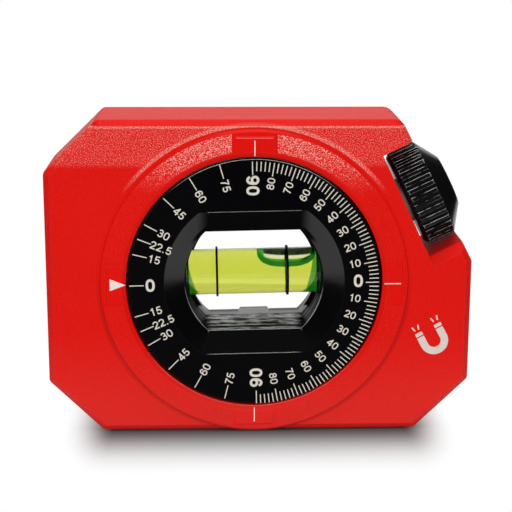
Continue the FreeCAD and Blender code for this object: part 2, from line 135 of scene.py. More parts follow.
class Nodes:
    """The node tree of a material or a world, with short ways to add and join nodes."""

    def __init__(self, name, world=None):
        self.owner = world or bpy.data.materials.new(name)
        self.owner.use_nodes = True
        self.tree = self.owner.node_tree
        self.tree.nodes.clear()
        self.output = self.tree.nodes.new("ShaderNodeOutputWorld" if world else "ShaderNodeOutputMaterial")

    def add(self, kind, inputs=None, **settings):
        node = self.tree.nodes.new(kind)
        for key, value in settings.items():
            setattr(node, key, value)
        for key, value in (inputs or {}).items():
            if isinstance(value, bpy.types.NodeSocket):
                self.tree.links.new(value, node.inputs[key])
            else:
                node.inputs[key].default_value = value
        return node

    def math(self, operation, first, second=None, clamp=False):
        inputs = {0: first}
        if second is not None:
            inputs[1] = second
        node = self.add("ShaderNodeMath", inputs, operation=operation, use_clamp=clamp)
        return node.outputs[0]

    def chain(self, operation, values):
        result = values[0]
        for value in values[1:]:
            result = self.math(operation, result, value)
        return result

    def product(self, *values):
        return self.chain("MULTIPLY", values)

    def total(self, *values):
        return self.chain("ADD", values)

    def highest(self, *values):
        return self.chain("MAXIMUM", values)

    def less(self, first, second):
        return self.math("SUBTRACT", first, second)

    def size_of(self, value):
        return self.math("ABSOLUTE", value)

    def square(self, value):
        return self.math("POWER", value, 2.0)

    def hypotenuse(self, first, second):
        return self.math("SQRT", self.total(self.product(first, first), self.product(second, second)))

    def excess(self, value, start, length):
        """How far a value is past a start, counted in lengths, and 0 before it."""
        return self.math("DIVIDE", self.highest(self.less(value, start), 0.0), length)

    def ramp(self, value, low, high):
        """0 below low and 1 above high, with a soft step between them."""
        node = self.add("ShaderNodeMapRange", {0: value, 1: low, 2: high}, interpolation_type="SMOOTHSTEP")
        return node.outputs[0]

    def past(self, value, edge, soft):
        """0 before an edge and 1 past it, softened over a width on both its sides."""
        return self.ramp(value, edge - soft, edge + soft)

    def before(self, value, edge, soft):
        """1 before an edge and 0 past it."""
        return self.less(1.0, self.past(value, edge, soft))

    def between(self, value, low, high):
        """A factor from 0 to 1 spread evenly from one value to another."""
        return self.add("ShaderNodeMapRange", {0: value, 3: low, 4: high}).outputs[0]

    def vector(self, operation, first, second=None):
        inputs = {0: first}
        if second is not None:
            inputs[1] = second
        return self.add("ShaderNodeVectorMath", inputs, operation=operation).outputs

    def noise(self, scale, detail=2.0, rough=0.5, vector=None):
        inputs = {"Scale": scale, "Detail": detail, "Roughness": rough}
        inputs["Vector"] = vector or self.place()
        return self.add("ShaderNodeTexNoise", inputs).outputs[0]

    def place(self):
        return self.add("ShaderNodeTexCoord").outputs["Object"]

    def normal(self):
        return self.add("ShaderNodeNewGeometry").outputs["Normal"]

    def split(self, vector):
        return self.add("ShaderNodeSeparateXYZ", {0: vector}).outputs

    def mix(self, factor, a, b):
        node = self.add("ShaderNodeMix", {0: factor, 6: a, 7: b}, data_type="RGBA")
        return node.outputs[2]

    def bump(self, height, distance, normal=None):
        """A bump of a height in millimetres, over a normal where one is given."""
        inputs = {"Height": height, "Distance": distance * MM, "Strength": 1.0}
        if normal:
            inputs["Normal"] = normal
        return self.add("ShaderNodeBump", inputs).outputs[0]

    def rounded(self, radius, samples):
        """The normal as if each edge were rounded to a radius in millimetres."""
        return self.add("ShaderNodeBevel", {"Radius": radius * MM}, samples=samples).outputs[0]

    def edges(self, rounded, low, high):
        """1 along sharp edges, where the rounded normal leans off the face's own."""
        alike = self.vector("DOT_PRODUCT", rounded, self.normal())["Value"]
        return self.ramp(self.less(1.0, alike), low, high)

    def surface(self, shader):
        self.tree.links.new(shader.outputs[0], self.output.inputs["Surface"])
        return self.owner


def varied(name, colour, spread, roughness, rough_spread, scale, bump, bump_scale, **extra):
    """A moulded or plated finish: colour and roughness drift a little, with a fine bump.
    spread is the drift as a share of the colour, and bump a height in millimetres."""
    n = Nodes(name)
    drift = n.noise(scale, 3.0)
    dark = tuple(c * (1 - spread) for c in colour[:3]) + (1,)
    light = tuple(min(1, c * (1 + spread)) for c in colour[:3]) + (1,)
    inputs = {
        "Base Color": n.mix(drift, dark, light),
        "Roughness": n.between(drift, roughness - rough_spread, roughness + rough_spread),
        "Normal": n.bump(n.noise(bump_scale, 2.0), bump),
    }
    inputs.update(extra)
    return n.surface(n.add("ShaderNodeBsdfPrincipled", inputs))


def dial_place(n):
    """Millimetres from the dial's axis to the right and up, and the depth in metres."""
    place = n.split(n.place())
    x = n.product(n.less(place[0], AXIS.x), 1 / MM)
    z = n.product(n.less(place[2], AXIS.z), 1 / MM)
    return x, z, place[1]


def red_paint():
    """Red moulding: fine grain on the body and the ring's band, smooth lip and pads. Painted
    highlights glitter in the grain towards the top of the front, light lines of painted highlight
    run along the edges, the top face is painted lighter as if lit from above and the base as if
    lit from below, and painted shade darkens the ring's foot low down."""
    upper_shine = 0.8
    foot_shine = 1.8
    band_shine = 2.6
    n = Nodes("red_moulding")
    x, z, depth = dial_place(n)
    radius = n.hypotenuse(x, z)

    # Where the moulding is grained
    rear = n.past(depth, FRONT_FACE + 4.5 * MM, 0.5 * MM)
    front = n.less(1.0, rear)
    outside = n.highest(n.past(radius, RING_FOOT, 0.1), rear)
    off_pads = n.past(n.math("MINIMUM", n.size_of(x), n.size_of(z)), PAD_HALF, 0.1)
    band = n.product(n.past(radius, BAND_START, 0.1), n.before(radius, BAND_END, 0.1), off_pads, front)
    grained = n.highest(outside, band)
    grain = n.noise(4300, 1.5, 0.6)

    # Painted highlights: glints in the grain towards the top of the front, along its top edge, at the
    # ring's upper foot and on the band's upper part
    below_top = n.before(z, FRONT_TOP, 0.075)
    upper_part = n.past(z, 26.6, 0.8)
    top_row = n.past(z, FRONT_TOP - 0.4, 0.125)
    foot = n.product(n.before(radius, RING_FOOT + 0.8, 0.3), n.past(z, 23.5, 3.5), front)
    painted_flat_glint = n.total(n.product(upper_part, upper_shine), top_row, n.product(foot, foot_shine))
    painted_flat_glint = n.product(painted_flat_glint, outside, below_top)
    painted_band_glint = n.product(band, n.past(z, 26.25, 6.25), band_shine)
    painted_glint = n.total(painted_flat_glint, painted_band_glint, 0.05)
    painted_sparkle = n.math("MULTIPLY", n.product(n.ramp(grain, 0.46, 0.77), painted_glint), grained, clamp=True)

    # Painted highlights and painted light: light lines along the edges, strongest at the lip's lower part
    # and the top pad's end, a band along the front's top edge, a lighter top face as if lit from above, a
    # sheen at the ring's upper foot, and a lighter lower front as if lit from below
    soft_edge = n.rounded(0.25, 4)
    lip_highlight = n.product(n.before(radius, LIP_END, 0.05), n.before(z, -18.0, 4.0), 0.6)
    pad_middle = n.before(n.size_of(x), PAD_HALF - 1.0, 0.1)
    pad_end = n.product(n.past(z, PAD_END_LOW, 0.05), n.before(z, PAD_END_TOP, 0.05))
    pad_end_highlight = n.product(pad_middle, pad_end, front, 0.5)
    edge_highlight = n.product(n.edges(soft_edge, 0.004, 0.05), n.total(n.highest(lip_highlight, pad_end_highlight), 0.04))
    painted_top_light = n.product(n.past(z, TOP_FACE, 0.05), 0.08)
    top_edge_highlight = n.product(n.past(z, FRONT_TOP - 0.475, 0.1), below_top, outside, 0.22)
    foot_sheen = n.product(foot, outside, 0.12)
    painted_low_light = n.product(n.before(z, -22.0, 14.0), front, 0.045)
    painted_light = n.total(painted_top_light, top_edge_highlight, edge_highlight, foot_sheen, painted_low_light)
    painted_sparkle = n.math("ADD", painted_sparkle, painted_light, clamp=True)

    # Painted shade: deeper red where the ring's foot meets the body, on its lower part
    crease_shade = n.product(n.past(radius, RING_FOOT - 0.95, 0.25), n.before(radius, RING_FOOT + 0.1, 0.3))
    crease_shade = n.product(crease_shade, n.before(z, -1.0, 7.0), front, 0.28)
    colour = n.mix(n.noise(60, 2.0), linear(216, 12, 4), linear(222, 15, 6))
    colour = n.mix(crease_shade, colour, linear(120, 7, 3))
    # The painted highlights and painted light are mixed in as a light pink
    colour = n.mix(painted_sparkle, colour, linear(246, 168, 158))
    return n.surface(n.add("ShaderNodeBsdfPrincipled", {
        "Base Color": colour,
        "Roughness": n.between(grained, 0.36, 0.5),
        "Specular IOR Level": 0.1,
        "Normal": n.bump(n.product(grain, grained), 0.1, soft_edge),
    }))


def scuffed_steps(n, depth, rim):
    """Colour of the steps under the vial, with painted light: lighter streaks of painted highlight
    along the treads, treads painted lighter than the risers where they face up and deeper in the
    window where light falls through it, dark risers, and a plain painted grey on the rear half's
    rim, as if lit from the front."""
    stretch = (0.16, 1.0, 1.0)
    stretched = n.vector("MULTIPLY", n.place(), stretch)[0]
    streak = n.ramp(n.noise(2000, 2.0, 0.6, stretched), 0.42, 0.6)
    deep = n.past(depth, DIAL_FACE + 5.55 * MM, 0.75 * MM)
    lit_tread = n.mix(deep, (0.6, 0.61, 0.58, 1), (0.95, 0.97, 0.94, 1))
    lit_riser = n.mix(deep, (0.02, 0.024, 0.022, 1), (0.2, 0.22, 0.21, 1))
    tread = n.mix(streak, (0.1, 0.105, 0.1, 1), lit_tread)
    riser = n.mix(streak, (0.004, 0.005, 0.004, 1), lit_riser)
    # Treads facing up are painted lighter than the risers, as if lit from above
    facing_up = n.split(n.normal())[2]
    steps = n.mix(n.ramp(facing_up, 0.4, 0.6), riser, tread)
    return n.mix(rim, steps, (0.33, 0.33, 0.315, 1))


def dial_black():
    """Black dial: satin where it is printed, glossy in the window and on its edges, with dust,
    painted highlights along its edges and painted light on the steps under the vial."""
    n = Nodes("dial_black")
    x, z, depth = dial_place(n)
    radius = n.hypotenuse(x, z)
    width = n.size_of(x)
    in_throat = n.before(radius, THROAT_RADIUS, 0.2)
    behind_funnel = n.past(depth, DIAL_FACE + FUNNEL_DEPTH * MM, 0.05 * MM)

    # Dust, and painted light on the steps under the vial
    dust = n.ramp(n.noise(900, 4.0, 0.7), 0.62, 0.8)
    colour = n.mix(dust, (0.0022, 0.0022, 0.0027, 1), (0.006, 0.006, 0.007, 1))
    rim = n.past(depth, AXIS.y - 0.075 * MM, 0.025 * MM)
    flat_floor = n.before(width, FLOOR_HALF, 1.2)
    front_half = n.product(behind_funnel, n.before(depth, AXIS.y + 1.1 * MM, 0.1 * MM))
    under_vial = n.product(n.before(z, FLOOR_TOP, 0.2), in_throat)
    painted_steps = n.product(front_half, under_vial, n.highest(rim, flat_floor))
    colour = n.mix(painted_steps, colour, scuffed_steps(n, depth, rim))

    # Painted highlights along the edges: the throat's lower edge, the rim's upper part, the window's top
    # edge and the funnel's foot, and faintly everywhere
    rounded = n.rounded(0.2, 6)
    throat_front = n.past(depth, DIAL_FACE + (FUNNEL_DEPTH - 0.25) * MM, 0.05 * MM)
    throat_back = n.before(depth, DIAL_FACE + (FUNNEL_DEPTH + 0.25) * MM, 0.05 * MM)
    throat_highlight = n.product(in_throat, n.before(z, -2.0, 1.0), throat_front, throat_back)
    rim_highlight = n.product(n.past(radius, RIM_RADIUS, 0.1), n.past(z, 23.0, 3.0))
    mouth_highlight = n.product(n.past(z, MOUTH_TOP, 0.2), n.before(width, FLOOR_HALF + 0.4, 0.2), 0.7)
    at_foot = n.product(n.before(z, FUNNEL_FOOT + 0.35, 0.1), n.past(z, FUNNEL_FOOT - 0.35, 0.1))
    foot_highlight = n.product(at_foot, flat_floor, 0.9)
    line = n.highest(throat_highlight, rim_highlight, mouth_highlight, foot_highlight, 0.008)
    colour = n.mix(n.product(n.edges(rounded, 0.002, 0.03), line), colour, (0.6, 0.6, 0.58, 1))

    # Satin face and dull roof
    face = n.before(depth, DIAL_FACE + 0.045 * MM, 0.015 * MM)
    over_window = n.highest(in_throat, n.before(width, 11.5, 1.5))
    roof = n.product(over_window, n.past(z, 9.0, 1.0))
    dull_inside = n.less(1.0, n.product(behind_funnel, 0.88))
    dull_roof = n.less(1.0, n.product(roof, 0.97))
    return n.surface(n.add("ShaderNodeBsdfPrincipled", {
        "Base Color": colour,
        "Roughness": n.total(n.between(face, 0.12, 0.42), n.product(n.noise(140, 3.0), 0.05)),
        "Specular IOR Level": n.product(n.between(face, 0.45, 0.02), dull_inside, dull_roof),
        "Normal": n.bump(n.noise(700, 2.0), 0.004, rounded),
    }))


def knob_black():
    """Glossy black, with painted highlights along the upper edges of the ribs."""
    crest_radius = 11.25
    n = Nodes("knob_black")
    rounded = n.rounded(0.2, 6)
    lean = n.vector("SUBTRACT", rounded, n.normal())[0]
    uphill = KNOB_AXIS.cross((0, 1, 0))
    rise = n.vector("DOT_PRODUCT", lean, uphill)["Value"]
    lit_upper_side = n.add("ShaderNodeMapRange", {0: rise, 1: 0.0, 2: 0.08, 3: 0.15, 4: 1.0}).outputs[0]
    across = n.vector("CROSS_PRODUCT", n.vector("SUBTRACT", n.place(), KNOB_CENTRE)[0], KNOB_AXIS)[0]
    radius = n.vector("LENGTH", across)["Value"]
    crests = n.past(radius, crest_radius * MM, 0.05 * MM)
    patchy = n.ramp(n.noise(500, 2.0), 0.34, 0.58)
    # Painted highlights: light lines in patches on the upper edges of the ribs' crests, facing the lamp
    # above
    rib_highlight = n.product(n.edges(rounded, 0.008, 0.04), crests, patchy, lit_upper_side)
    haze = n.noise(160, 3.0)
    colour = n.mix(haze, (0.003, 0.003, 0.0035, 1), (0.006, 0.006, 0.007, 1))
    return n.surface(n.add("ShaderNodeBsdfPrincipled", {
        "Base Color": n.mix(rib_highlight, colour, (0.95, 0.95, 0.92, 1)),
        "Roughness": n.between(haze, 0.13, 0.24),
        "Specular IOR Level": 0.13,
        "Normal": n.bump(n.noise(1500, 2.0), 0.004, rounded),
    }))


def corner_stain(n):
    """1 in the vial's lower corners, past a quarter ellipse at each end, where deep green shade is painted.
    """
    middle = -0.6
    clear_half = 10.4
    end_length = 4.4
    stain_top = 2.4
    stain_height = 6.6
    x, z, _ = dial_place(n)
    along = n.excess(n.size_of(n.less(x, middle)), clear_half, end_length)
    down = n.math("MINIMUM", n.excess(n.less(stain_top, z), 0.0, stain_height), 0.95)
    return n.ramp(n.hypotenuse(along, down), 0.98, 1.05)


def clear_plastic(name, ior, corner_shade):
    """Clear acrylic. Where asked, the outside is painted deep green in its lower corners, past the
    liquid's rounded ends, as painted shade in the liquid's colour."""
    n = Nodes(name)
    ripple = n.noise(220, 1.0)
    colour = n.mix(ripple, (0.99, 1, 0.97, 1), (1, 1, 1, 1))
    if corner_shade:
        # Painted shade: deep green in the lower corners
        colour = n.mix(corner_stain(n), colour, (0.022, 0.19, 0.06, 1))
    return n.surface(n.add("ShaderNodeBsdfPrincipled", {
        "Base Color": colour,
        "Roughness": 0.0,
        "IOR": ior,
        "Transmission Weight": 1.0,
        "Normal": n.bump(ripple, 0.0015),
    }))


def dyed_liquid():
    """Yellow-green liquid: clear, with the dye's colour through its depth. Its far side is painted
    with a lighter band in its lower third, a painted reflection, and painted shade under it."""
    light_band_top = -2.0
    painted_shade_top = -2.575
    n = Nodes("dyed_liquid")
    _, z, depth = dial_place(n)
    near = n.mix(n.noise(90, 2.0), (0.97, 0.975, 0.8, 1), (0.975, 0.98, 0.83, 1))
    # Painted reflection and shade on the far side: a lighter band, and a deeper tone under it
    far = n.mix(n.before(z, light_band_top, 0.05), (0.9, 0.9, 0.72, 1), (1, 1, 0.97, 1))
    far = n.mix(n.before(z, painted_shade_top, 0.075), far, (0.7, 0.7, 0.3, 1))
    far_side = n.past(depth, VIAL_DEPTH + 0.25 * MM, 0.25 * MM)
    shader = n.add("ShaderNodeBsdfPrincipled", {
        "Base Color": n.mix(far_side, near, far),
        "Roughness": 0.0,
        "IOR": 1.0,
        "Transmission Weight": 0.97,
    })
    volume = n.add("ShaderNodeVolumeAbsorption", {"Color": (0.855, 0.885, 0.08, 1), "Density": 320.0})
    n.tree.links.new(volume.outputs[0], n.output.inputs["Volume"])
    return n.surface(shader)


def bubble_surface():
    """Air in the liquid: clear in the middle, with painted deep green round it where its skin is
    seen edge on, a painted reflection of the liquid, and painted near-black shade under its top."""
    hole_top = 4.2
    hole_half_height = 2.2
    hole_half_length = BUBBLE_HALF - 1.35
    rim_top = 2.8
    roof_height = 3.775
    roof_arch = 0.2
    arch_half_length = 5.0
    n = Nodes("bubble_surface")
    x, z, depth = dial_place(n)
    along = n.size_of(n.less(x, BUBBLE_CENTRE))
    flank = n.square(n.math("DIVIDE", along, hole_half_length))
    drop = n.square(n.excess(n.less(hole_top, z), 0.0, hole_half_height))
    near_side = n.before(depth, VIAL_DEPTH + 0.05 * MM, 0.05 * MM)
    ends = n.product(n.ramp(n.total(flank, drop), 0.92, 1.06), near_side)
    facing = n.add("ShaderNodeLayerWeight", {"Blend": 0.5}).outputs["Facing"]
    low_rim_reflection = n.product(n.ramp(facing, 0.17, 0.27), n.before(z, rim_top, 0.2))
    arch = n.product(n.square(n.math("DIVIDE", along, arch_half_length)), roof_arch)
    roof = n.past(n.less(z, arch), roof_height, 0.075)
    # Painted reflection in deep green round the edge, and painted near-black shade under the top
    green = n.mix(n.noise(400, 2.0), (0.01, 0.3, 0.045, 1), (0.012, 0.35, 0.055, 1))
    green = n.mix(n.product(roof, n.less(1.0, ends)), green, (0.0015, 0.003, 0.0008, 1))
    skin = n.add("ShaderNodeBsdfPrincipled", {
        "Base Color": green,
        "Roughness": 0.0,
        "IOR": 1.0,
        "Transmission Weight": 0.85,
    })
    clear = n.add("ShaderNodeBsdfPrincipled", {
        "Base Color": (1, 0.99, 0.93, 1),
        "Roughness": 0.0,
        "IOR": 1 / LIQUID_IOR,
        "Transmission Weight": 1.0,
    })
    shown = n.highest(ends, low_rim_reflection, roof)
    return n.surface(n.add("ShaderNodeMixShader", {0: shown, 1: clear.outputs[0], 2: skin.outputs[0]}))


def printed(name, colour):
    """Matt print."""
    return varied(name, colour, 0.08, 0.5, 0.06, 900, 0.004, 2500, **{"Specular IOR Level": 0.3})


red = red_paint()
black_dial = dial_black()
black_knob = knob_black()
print_white = printed("dial_print", linear(214, 209, 196))
print_ring = printed("ring_print", linear(236, 218, 211))
print_sign = printed("sign_print", linear(214, 204, 196))
low_gloss = {"Specular IOR Level": 0.1}
matt_black = varied("matt_black", (0.003, 0.003, 0.003), 0.3, 0.5, 0.08, 300, 0.004, 1500, **low_gloss)
rubber = varied("rubber", (0.012, 0.012, 0.012), 0.3, 0.7, 0.08, 300, 0.01, 1500)
nylon = varied("nylon", (0.75, 0.74, 0.68), 0.06, 0.5, 0.08, 200, 0.005, 900)
steel = varied("zinc_steel", (0.5, 0.5, 0.51), 0.15, 0.32, 0.1, 500, 0.004, 2500, Metallic=1.0)
nickel = varied("nickel", (0.66, 0.64, 0.6), 0.08, 0.2, 0.08, 200, 0.003, 1200, Metallic=1.0)
brass = varied("brass", (0.72, 0.5, 0.2), 0.1, 0.3, 0.08, 400, 0.004, 2000, Metallic=1.0)
acrylic = clear_plastic("acrylic", ACRYLIC_IOR, True)
wet_wall = clear_plastic("wet_wall", ACRYLIC_IOR / LIQUID_IOR, False)
liquid = dyed_liquid()
bubble_air = bubble_surface()

FINISHES = {
    "housing": red,
    "rear_cover": red,
    "cover_screws": steel,
    "magnet_left": nickel,
    "magnet_right": nickel,
    "thread_insert": brass,
    "dial_front": black_dial,
    "dial_back": black_dial,
    "dial_screws": steel,
    "dial_o_ring": rubber,
    "dial_glide_ring": nylon,
    "vial_body": acrylic,
    "vial_plug": nylon,
    "vial_liquid": liquid,
    "vial_ring_left": matt_black,
    "vial_ring_right": matt_black,
    "lock_knob": black_knob,
    "lock_screw": steel,
    "knob_washer": nylon,
    "brake_pad": nylon,
}
for node_name, material in FINISHES.items():
    mesh = frame["nodes"][node_name].data
    mesh.materials.clear()
    mesh.materials.append(material)


# Pieces


def dial_point(x, depth, z):
    """A point that turns with the dial: x and z in millimetres from its axis, and the
    depth in metres."""
    c, s = math.cos(DIAL_TURN), math.sin(DIAL_TURN)
    return Vector((AXIS.x + (x * c - z * s) * MM, depth, AXIS.z + (x * s + z * c) * MM))


def on_dial(x, z):
    """A point of the dial's print plane."""
    return dial_point(x, DIAL_FACE, z)


def on_scale(x, z):
    """The fine scale sits a little lower on the dial than the other print."""
    return on_dial(x, z - SCALE_DROP)


def on_front(x, z):
    """A point of the body's front face, millimetres from the dial's axis."""
    return Vector((AXIS.x + x * MM, FRONT_FACE, AXIS.z + z * MM))


def on_pad(x, z):
    """A point of the ring's index pads, millimetres from the dial's axis."""
    return Vector((AXIS.x + x * MM, PAD_FACE, AXIS.z + z * MM))


def add_object(name, bm, material, body, smooth=False):
    """A piece made from its faces, on a body and with a slot."""
    mesh = bpy.data.meshes.new(name)
    bmesh.ops.recalc_face_normals(bm, faces=bm.faces)
    bm.to_mesh(mesh)
    bm.free()
    mesh.materials.append(material)
    for polygon in mesh.polygons:
        polygon.use_smooth = smooth
    piece = bpy.data.objects.new(name, mesh)
    bpy.context.scene.collection.objects.link(piece)
    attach(piece, body)
    return piece


def slab(bm, outline, place, thickness):
    """A thin plate of print over a flat outline, standing off its surface."""
    front = [bm.verts.new(place(x, z) - Vector((0, thickness * MM, 0))) for x, z in outline]
    back = [bm.verts.new(place(x, z)) for x, z in outline]
    bm.faces.new(front)
    bm.faces.new(back[::-1])
    count = len(outline)
    for i in range(count):
        j = (i + 1) % count
        bm.faces.new((front[i], back[i], back[j], front[j]))


def stroke(bm, path, half, closed, place, thickness):
    """A line of print of one width along a path."""
    points = [Vector(p) for p in path]
    count = len(points)
    sides = []
    for i, here in enumerate(points):
        before = points[i - 1] if closed or i > 0 else here
        after = points[(i + 1) % count] if closed or i < count - 1 else here
        into = (here - before).normalized() if here != before else (after - here).normalized()
        out = (after - here).normalized() if here != after else into
        tangent = (into + out).normalized()
        normal = Vector((-tangent.y, tangent.x))
        spread = half / max(0.5, normal.dot(Vector((-into.y, into.x))))
        sides.append((here + normal * spread, here - normal * spread))
    rows = []
    lift = Vector((0, thickness * MM, 0))
    for left, right in sides:
        rows.append([
            bm.verts.new(place(left.x, left.y) - lift),
            bm.verts.new(place(right.x, right.y) - lift),
            bm.verts.new(place(right.x, right.y)),
            bm.verts.new(place(left.x, left.y)),
        ])
    spans = count if closed else count - 1
    for i in range(spans):
        a, b = rows[i], rows[(i + 1) % count]
        for k in range(4):
            bm.faces.new((a[k], a[(k + 1) % 4], b[(k + 1) % 4], b[k]))
    if not closed:
        bm.faces.new(rows[0])
        bm.faces.new(rows[-1][::-1])


def arc(cx, cy, rx, ry, start, end, steps=14):
    """Points of an elliptical arc between two angles in degrees."""
    out = []
    for i in range(steps + 1):
        a = math.radians(start + (end - start) * i / steps)
        out.append((cx + rx * math.cos(a), cy + ry * math.sin(a)))
    return out


def rounded_zero(rx, ry, steps=36):
    """The outline of a zero of height 1, a little squarer than an ellipse."""
    side_power = 0.85
    end_power = 0.8
    out = []
    for i in range(steps):
        a = 2 * math.pi * i / steps
        c, s = math.cos(a), math.sin(a)
        x = rx * math.copysign(abs(c) ** side_power, c)
        y = 0.5 + ry * math.copysign(abs(s) ** end_power, s)
        out.append((x, y))
    return out


def digit_strokes(digit, h):
    """The strokes of a digit of height 1, each with whether it closes. h is half a stroke."""
    w = DIGIT_HALF - h
    top = 1 - h
    if digit == "0":
        return [(rounded_zero(w, 0.5 - h), True)]
    if digit == "1":
        return [([(0.07, 0), (0.07, 1)], False), ([(-0.17, 0.72), (0.03, 0.86)], False)]
    if digit == "2":
        bend = arc(0, 0.68, w, top - 0.68, 168, -38) + [(0.02, 0.34), (-w + 0.03, h + 0.03)]
        return [(bend, False), ([(-w - 0.04, h), (w + h, h)], False)]
    if digit == "3":
        upper = arc(-0.01, 0.72, w - 0.04, top - 0.72, 160, -80)
        lower = arc(0, 0.31, w, 0.31 - h, 78, -158)
        return [(upper, False), (lower, False), ([(-0.1, 0.52), (0.06, 0.52)], False)]
    if digit == "4":
        stem = [(0.14, 0), (0.14, 1)]
        slope = [(0.13, 1 - h), (-w - 0.02, 0.26)]
        bar = [(-w - h, 0.26), (w + h, 0.26)]
        return [(stem, False), (slope, False), (bar, False)]
    if digit == "5":
        bar = [(-0.19, top), (w, top)]
        stem = [(-0.165, 1 - h), (-w + 0.05, 0.44)]
        bowl = arc(0, 0.33, w, 0.33 - h, 142, -158)
        return [(bar, False), (stem, False), (bowl, False)]
    if digit == "6":
        bowl = arc(0, 0.33, w, 0.33 - h, 0, 345, 24)
        return [(bowl, True), (arc(0.01, 0.5, w + 0.01, top - 0.5, 30, 195), False)]
    if digit == "7":
        return [([(-w - 0.02, top), (w + h, top)], False), ([(w, top), (0.03, 0.5), (-0.1, 0)], False)]
    if digit == "8":
        upper = arc(0, 0.73, w - 0.045, top - 0.73, 0, 345, 24)
        return [(upper, True), (arc(0, 0.31, w, 0.31 - h, 0, 345, 24), True)]
    if digit == "9":
        turned = []
        for path, closed in digit_strokes("6", h):
            turned.append(([(-x, 1 - y) for x, y in path], closed))
        return turned
    point = [(0, 0), (0, 2 * h)]
    return [(point, False)]


def write_number(bm, text, height, heavy, start, centre, angle, turn):
    """Digits on the dial along a line from its centre. start is the radius where the text
    begins, or centre the radius of its middle; angle is its place and turn its slope."""
    half = (BOLD_STROKE if heavy else STROKE) / 2
    pitches = [(POINT_PITCH if c == "." else DIGIT_PITCH) for c in text]
    offsets = []
    pen = 0.0
    for index, pitch in enumerate(pitches):
        offsets.append(pen)
        if index + 1 < len(pitches):
            pen = pen + (pitch + pitches[index + 1]) / 2
    middle = pen / 2
    a = math.radians(angle)
    t = math.radians(turn)
    if start is not None:
        centre = start - (middle + DIGIT_HALF) * height
    origin = Vector((centre * math.cos(a), centre * math.sin(a)))
    along = Vector((math.cos(t), math.sin(t)))
    up = Vector((-along.y, along.x))
    for index, character in enumerate(text):
        for layer, (path, closed) in enumerate(digit_strokes(character, half)):
            moved = []
            for x, y in path:
                spot = origin + along * ((offsets[index] - middle + x) * height) + up * ((y - 0.5) * height)
                moved.append((spot.x, spot.y))
            thickness = PRINT_THICKNESS + LAYER_STEP * layer
            stroke(bm, moved, half * height, closed, on_dial, thickness)


def make_numbers():
    """The dial's numbers: bold at the quarters, the roofing angles at the left, and the
    tens of degrees at the right."""
    bm = bmesh.new()
    for label in ROOF_ANGLES:
        start = LONG_NUMBER_START if "." in label else NUMBER_START
        for angle in (180 - float(label), 180 + float(label)):
            write_number(bm, label, LEFT_DIGIT, False, start, None, angle, angle - 180)
    for value in range(10, 90, 10):
        for angle in (value, -value):
            write_number(bm, str(value), SMALL_DIGIT, False, None, NUMBER_CENTRE, angle, angle)
    for angle in (90, 270):
        write_number(bm, "90", BOLD_DIGIT, True, NUMBER_START, None, angle, angle - 180)
    for angle in (0, 180):
        write_number(bm, "0", BOLD_DIGIT, True, None, BOLD_CENTRE, angle, 0)
    add_object("dial_numbers", bm, print_white, "dial")


def make_ticks():
    """The dial's marks: one every 2 degrees at the right, and one at each number at the left."""
    bm = bmesh.new()
    marks = []
    for step in range(0, 180 + FINE_STEP, FINE_STEP):
        inner = TICK_LONG if step % LONG_STEP == 0 else TICK_SHORT
        marks.append((90 - step, inner, on_scale))
    marks.append((180, COARSE_INNER, on_dial))
    for label in ROOF_ANGLES:
        for angle in (180 - float(label), 180 + float(label)):
            marks.append((angle, COARSE_INNER, on_dial))
    for angle, inner, place in marks:
        a = math.radians(angle)
        ray = Vector((math.cos(a), math.sin(a)))
        stroke(bm, [ray * inner, ray * TICK_OUTER], TICK_WIDTH / 2, False, place, PRINT_THICKNESS)
    add_object("dial_ticks", bm, print_white, "dial")


def make_ring_marks():
    """The index marks on the ring's four pads: three lines and a triangle."""
    bm = bmesh.new()
    half = 0.105
    top = [(0, reach) for reach in PAD_MARK]
    low = [(0, -reach) for reach in PAD_MARK]
    right = [(reach, 0) for reach in RIGHT_PAD_MARK]
    for line in (top, low, right):
        stroke(bm, line, half, False, on_pad, PRINT_THICKNESS)
    triangle = [(-28.6, 0), (-32.1, 1.35), (-32.1, -1.35)]
    slab(bm, triangle, on_pad, PRINT_THICKNESS)
    add_object("ring_marks", bm, print_ring, "body")


def make_magnet_sign():
    """A plain horseshoe with two short strokes before each pole."""
    bm = bmesh.new()
    centre = Vector((40.6, -13.6))
    tilt = math.radians(28)
    bow_radius = 2.35
    bar_half = 0.85
    bar_end = 2.2
    pole_start = 2.5
    pole_end = 3.3
    ray_start = 4.0
    ray_end = 5.1
    ray_half = 0.16
    ray_foot = 0.45
    ray_tip = 0.75

    def place(x, z):
        spot = Vector((x, z))
        spot.rotate(Matrix.Rotation(tilt, 2))
        return on_front(centre.x + spot.x, centre.y + spot.y)

    bow = arc(0, 0, bow_radius, bow_radius, 180, 360, 28)
    path = [(-bow_radius, bar_end)] + bow + [(bow_radius, bar_end)]
    stroke(bm, path, bar_half, False, place, PRINT_THICKNESS)
    for side in (-1, 1):
        x = side * bow_radius
        stroke(bm, [(x, pole_start), (x, pole_end)], bar_half, False, place, PRINT_THICKNESS)
        for lean in (-1, 1):
            ray = [(x + lean * ray_foot, ray_start), (x + lean * ray_tip, ray_end)]
            stroke(bm, ray, ray_half, False, place, PRINT_THICKNESS)
    add_object("magnet_sign", bm, print_sign, "body")


def vial_point(along, radius, angle):
    """A point of the vial: along its axis, and round it from its near side upward."""
    return dial_point(along, VIAL_DEPTH - radius * math.cos(angle) * MM, radius * math.sin(angle))


def barrel_radius(along):
    """Radius of the chamber's barrel wall, before its rounded ends."""
    share = along / CHAMBER_HALF
    return CHAMBER_RADIUS - CHAMBER_BARREL * share * share


